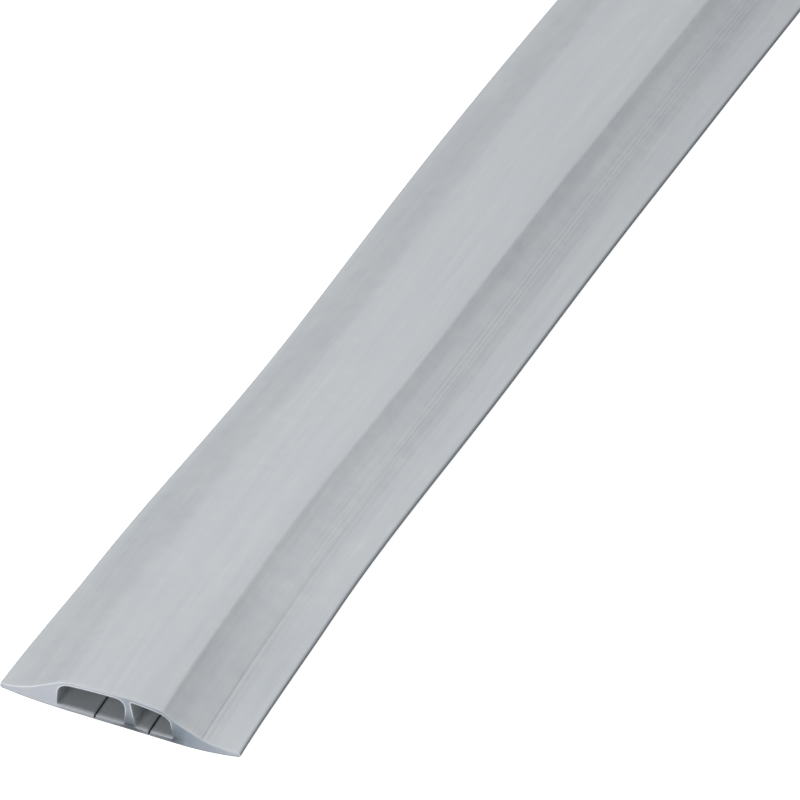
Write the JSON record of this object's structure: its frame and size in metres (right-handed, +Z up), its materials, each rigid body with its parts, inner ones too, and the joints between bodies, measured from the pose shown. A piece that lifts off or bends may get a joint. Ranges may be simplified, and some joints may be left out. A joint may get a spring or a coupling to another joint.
{
  "type": "floor cable cover",
  "caption": "Soft PVC floor cable cover, a low ramped strip with a wide and a narrow cable channel, each with a slit in its floor.",
  "frame": {"origin": "on the flat underside, half way along the strip and 1.6 mm left of the rib, over the floor of the wide channel", "axes": "+Z up out of the crown, +Y along the strip away from the end that lies twisted, +X across the strip towards the narrow channel"},
  "size_m": [0.0943, 1.5012, 0.0152],
  "materials": {
    "soft_pvc": "light grey soft PVC, satin, with fine lines along the extrusion and light scuffs"
  },
  "bodies": {
    "root": {"cable_cover": "soft_pvc"}
  },
  "joints": []
}
